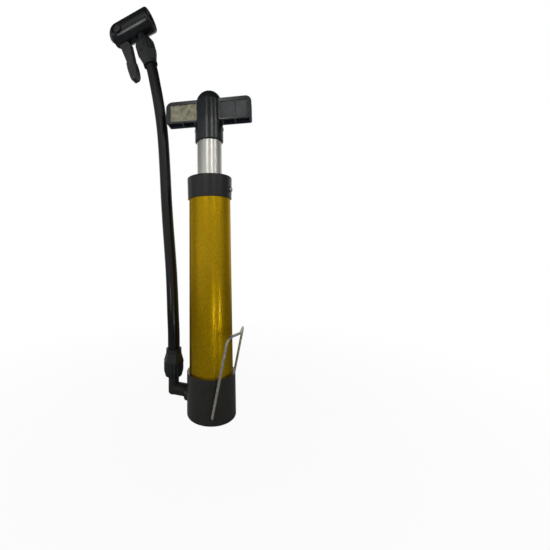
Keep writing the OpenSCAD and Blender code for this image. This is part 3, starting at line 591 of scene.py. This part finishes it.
def plain_nut(name, diameter, length, thread):
    shape = bmesh.new()
    core = diameter / 2 - nut_step - nut_rib_rise
    grip = length * nut_grip_share
    taper = length - nut_ring - grip
    flat_low = diameter / 2 * math.cos(math.pi / 6) + nut_flat_low
    flat_high = nut_ring_r * math.cos(math.pi / 6) + nut_flat_high

    def six_sided(share):
        cone = diameter / 2 + (nut_ring_r + nut_lip - diameter / 2) * share
        flat = flat_low + (flat_high - flat_low) * share
        return [min(cone, flat / math.cos((2 * math.pi * k / nut_sides) % (math.pi / 3) - math.pi / 6))
                for k in range(nut_sides)]

    rows = [(0, nut_mouth_r), (nut_chamfer, core), (grip, core),
            *((grip + share * taper, six_sided(share)) for share in (0, 0.25, 0.5, 0.75, 1)),
            (length - nut_ring, nut_ring_r), (length, nut_ring_r), (length, nut_hose_r), (thread, nut_hose_r),
            (thread, nut_bore_r), (0, nut_bore_r)]
    rings = []
    for height, reach in rows:
        reach = reach if isinstance(reach, list) else [reach] * nut_sides
        angles = [2 * math.pi * k / nut_sides for k in range(nut_sides)]
        rings.append([
            shape.verts.new((r * math.cos(angle), r * math.sin(angle), height))
            for r, angle in zip(reach, angles)])
    for low, high in zip(rings, [*rings[1:], rings[0]]):
        for k in range(nut_sides):
            shape.faces.new((low[k], low[(k + 1) % nut_sides], high[(k + 1) % nut_sides], high[k]))
    bmesh.ops.recalc_face_normals(shape, faces=shape.faces)
    mesh = bpy.data.meshes.new(name)
    shape.to_mesh(mesh)
    shape.free()
    return softened(name, mesh, nut_edge, steps=2, sharpest=18)


rib_tree, rib_given = new_tree("nut_ribs", (
    ("Ribs", "Int"), ("Mouth Radius", "Float"), ("Grip Radius", "Float"), ("Chamfer", "Float"),
    ("Rib Length", "Float"), ("Rib Width", "Float")))
rib_top = add_node(rib_tree, "CombineXYZ", {"Z": rib_given["Rib Length"]})
rib_line = add_node(rib_tree, "GeometryNodeCurvePrimitiveLine", {"End": rib_top.outputs[0]})
rib_steps = add_node(rib_tree, "GeometryNodeResampleCurve", {
    "Curve": rib_line.outputs[0], "Count": nut_rib_steps})
rib_spot = add_node(rib_tree, "GeometryNodeInputPosition")
rib_height = add_node(rib_tree, "SeparateXYZ", {0: rib_spot.outputs[0]}).outputs["Z"]
rib_reach = add_node(rib_tree, "MapRange", {
    "Value": rib_height, "From Min": 0.0, "From Max": rib_given["Chamfer"],
    "To Min": rib_given["Mouth Radius"], "To Max": rib_given["Grip Radius"]})
rib_place = add_node(rib_tree, "CombineXYZ", {"X": rib_reach.outputs[0], "Z": rib_height})
rib_path = add_node(rib_tree, "GeometryNodeSetPosition", {
    "Geometry": rib_steps.outputs[0], "Position": rib_place.outputs[0]})
rib_end = add_node(rib_tree, "MapRange", {
    "Value": add_node(rib_tree, "GeometryNodeSplineParameter").outputs["Factor"],
    "From Min": 0.0, "From Max": nut_rib_swell, "To Min": nut_rib_tip, "To Max": 1.0})
rib_slim = add_node(rib_tree, "GeometryNodeSetCurveRadius", {
    "Curve": rib_path.outputs[0], "Radius": rib_end.outputs[0]})
rib_half = add_node(rib_tree, "Math", {0: rib_given["Rib Width"], 1: 0.5}, operation="MULTIPLY")
rib_bar = round_bar(rib_tree, rib_slim.outputs[0], rib_half.outputs[0], nut_rib_sides)
rib_spots = add_node(rib_tree, "GeometryNodePoints", {"Count": rib_given["Ribs"]})
rib_share = add_node(rib_tree, "Math", {
    0: add_node(rib_tree, "GeometryNodeInputIndex").outputs[0], 1: rib_given["Ribs"]}, operation="DIVIDE")
rib_angle = add_node(rib_tree, "Math", {0: rib_share.outputs[0], 1: 2 * math.pi}, operation="MULTIPLY")
rib_turn = add_node(rib_tree, "CombineXYZ", {"Z": rib_angle.outputs[0]})
rib_ring = add_node(rib_tree, "GeometryNodeInstanceOnPoints", {
    "Points": rib_spots.outputs[0], "Instance": rib_bar, "Rotation": rib_turn.outputs[0]})
rib_whole = add_node(rib_tree, "GeometryNodeJoinGeometry", {0: rib_ring.outputs[0]})
rib_tree.links.new(rib_given["Geometry"], rib_whole.inputs[0])
close_tree(rib_tree, rib_whole.outputs[0], rib_given["Material"])


def ribbed_nut(name, diameter, length, thread, place):
    plain = plain_nut(name, diameter, length, thread)
    sunk = nut_rib_rise - nut_rib_width / 2
    nut = grown(name, plain.data, rib_tree, {
        "Ribs": nut_ribs, "Mouth Radius": nut_mouth_r + sunk / 2,
        "Grip Radius": diameter / 2 - nut_step - nut_rib_rise + sunk,
        "Chamfer": nut_chamfer, "Rib Length": length * nut_grip_share, "Rib Width": nut_rib_width,
        "Material": nut_black})
    bpy.data.objects.remove(plain)
    nut.name = name
    nut.data.transform(place @ Matrix.Rotation(nut_turn, 4, "Z"))
    return nut


lower_nut_place = Matrix.Translation((-0.0347, 0, 0.0244))
lower_nut = ribbed_nut("lower_nut", diameter=0.0176, length=0.022, thread=0.0086, place=lower_nut_place)
fitted(lower_nut, "pump", "lower_hose_nut", nut_black)
head_place = Matrix((
    (0.95776162, -0.12035111, -0.26116717, -0.06622093),
    (0.09529963, 0.98972454, -0.10659884, -0.01302487),
    (0.27131284, 0.07720715, 0.95938960, 0.34322383),
    (0, 0, 0, 1)))
head_neck = 0.0157
upper_nut_place = head_place @ Matrix.Translation((0, 0, -head_neck)) @ Matrix.Rotation(math.pi, 4, "X")
upper_nut = ribbed_nut("upper_nut", diameter=0.019, length=0.026, thread=0.0108, place=upper_nut_place)
fitted(upper_nut, "pump", "upper_hose_nut", nut_black)

# Pump head: a body moulded in glossy black plastic, with a cap over its rubber mouth and a lever on a pin.
# The lever's cam pushes the plunger, which squeezes the mouth round the tyre valve.
gloss_black = moulded("gloss_black", (0.0075, 0.0085, 0.0094), roughness=0.19, grain=0.0012, relief=0.0004)
head_body = eased("head_shell", "head_body", mould_edge)
fitted(head_body, "pump", "head_body", gloss_black)
head_cap = eased("head_mouth_cap", "head_cap", width=0.0003)
fitted(head_cap, "pump", "head_cap", gloss_black)
lever = eased("thumb_lever", "lever", width=0.0007, steps=3)
lever_black = moulded("lever_black", (0.0235, 0.0241, 0.0241), roughness=0.36, grain=0.0008, relief=0.02)
fitted(lever, "lever", "lever", lever_black)
lever_pin = eased("lever_pin_head", "lever_pin", mould_edge)
fitted(lever_pin, "pump", "lever_pin", satin_black)
grey_plastic = moulded("grey_plastic", (0.045, 0.047, 0.05), roughness=0.5, grain=0.0005)
painted("head_plunger", grey_plastic)

# Collar: a cap moulded in black plastic round the top of the barrel, held by one plated screw.
# Its top is open round the rod, which runs in a grey plastic bush inside it.
collar = eased("barrel_collar", "collar", mould_edge)
collar_black = moulded(
    "collar_black", (0.0078, 0.0086, 0.0088), roughness=0.34, grain=0.0005, shine=0.50, relief=0.012)
fitted(collar, "pump", "collar", collar_black)
painted("collar_screw", steel)
painted("guide_bush", grey_plastic)

# Piston: a grey plastic moulding on the rod's lower end, with a rubber cup that seals against the barrel.
# A plated washer and bolt hold the cup from below.
painted("piston", grey_plastic)
painted("piston_washer", steel)
painted("piston_bolt", steel)

# Rod: a drawn and polished aluminium tube that slides in the bush and carries the handle.
# Drawing leaves fine streaks along it.
rod_metal, rod_shader = new_finish("polished_rod", (0.72, 0.73, 0.74), roughness=0.22, metallic=1.0)
rod_streak = speckle(rod_metal, size=0.0012, stretch=(1, 1, 0.02), detail=3.0)
feed(rod_metal, rod_shader, "Base Color", toned(
    rod_metal, rod_streak, dark=(0.61, 0.606, 0.572), light=(0.81, 0.805, 0.755)))
feed(rod_metal, rod_shader, "Roughness", graded(rod_metal, rod_streak, low=0.24, high=0.40))
raised(rod_metal, rod_shader, rod_streak, depth=0.00002)
rod = eased("slide_rod", "rod", cut_edge)
fitted(rod, "handle", "rod", rod_metal)

# Handle: a tee moulded in black plastic, pressed over the rod and held by a steel cross pin.
# Both grips have recessed panels and pockets, and one panel holds a plain strip of bright foil.
handle_black = moulded(
    "handle_black", (0.0102, 0.0132, 0.0155), roughness=0.23, grain=0.0012, shine=0.70, relief=0.006)
handle_turn = math.radians(13)
panel_floor = 0.0053
panel_slack = 0.0001
panel_facing = 0.99
hub_r = 0.0112
hub_reach = 0.0123
hub_low = 0.236
hub_high = 0.2576
grip_half = 0.0060
hub_blend = 0.0015
hub_skin = 0.996
along_handle = Vector((math.cos(handle_turn), math.sin(handle_turn), 0))
across_handle = Vector((-math.sin(handle_turn), math.cos(handle_turn), 0))


def drawn_hub(spot):
    reach = math.hypot(spot.x, spot.y)
    beyond = abs(spot.dot(across_handle)) - grip_half
    if reach < hub_skin * hub_r or beyond < 0 or not hub_low < spot.z < hub_high:
        return spot
    wanted = hub_reach + (hub_r - hub_reach) * (spot.z - hub_low) / (hub_high - hub_low)
    scale = 1 + (wanted / reach - 1) * min(1, beyond / hub_blend)
    return Vector((spot.x * scale, spot.y * scale, spot.z))


handle = eased("tee_handle", "handle", width=0.0006, steps=3, reshaped=drawn_hub)
fitted(handle, "handle", "handle", handle_black)
panel_black = moulded("panel_black", (0.078, 0.0828, 0.0860), roughness=0.55, grain=0.0004, relief=0.04)
handle.data.materials.append(panel_black)
# The pockets' insides get a light navy colour instead of the handle's black: painted light and painted
# reflection, standing in for light reaching into their shade.
pocket_painted_light = moulded("pocket_painted_light", (0.050, 0.062, 0.098), roughness=0.50, grain=0.0006, relief=0.02)
handle.data.materials.append(pocket_painted_light)
pocket_half = 0.00445
pocket_start = 0.0129
pocket_low = 0.24035
pocket_high = 0.2443
for face in handle.data.polygons:
    depth = abs(face.center.dot(across_handle))
    if abs(depth - panel_floor) < panel_slack and abs(face.normal.dot(across_handle)) > panel_facing:
        face.material_index = 1
    # Faces inside the pockets take the painted light and reflection.
    elif (depth < pocket_half and abs(face.center.dot(along_handle)) > pocket_start
          and pocket_low < face.center.z < pocket_high):
        face.material_index = 2
pin_metal, pin_shader = new_finish("black_steel", (0.02, 0.02, 0.022), roughness=0.4, metallic=0.6)
pin_cloud = speckle(pin_metal, size=0.0005)
feed(pin_metal, pin_shader, "Roughness", graded(pin_metal, pin_cloud, low=0.3, high=0.5))
painted("cross_pin", pin_metal)
foil, foil_shader = new_finish("grip_foil", (0.34, 0.33, 0.26), roughness=0.40, metallic=0.85)
foil_patch = speckle(foil, size=0.0032, stretch=(1, 1, 0.6), detail=6.0)
feed(foil, foil_shader, "Base Color", toned(
    foil, foil_patch, dark=(0.10, 0.098, 0.068), light=(0.46, 0.447, 0.332), start=0.32, end=0.66))
feed(foil, foil_shader, "Roughness", graded(foil, foil_patch, low=0.30, high=0.55))
raised(foil, foil_shader, foil_patch, depth=0.00008)
painted("grip_foil", foil)
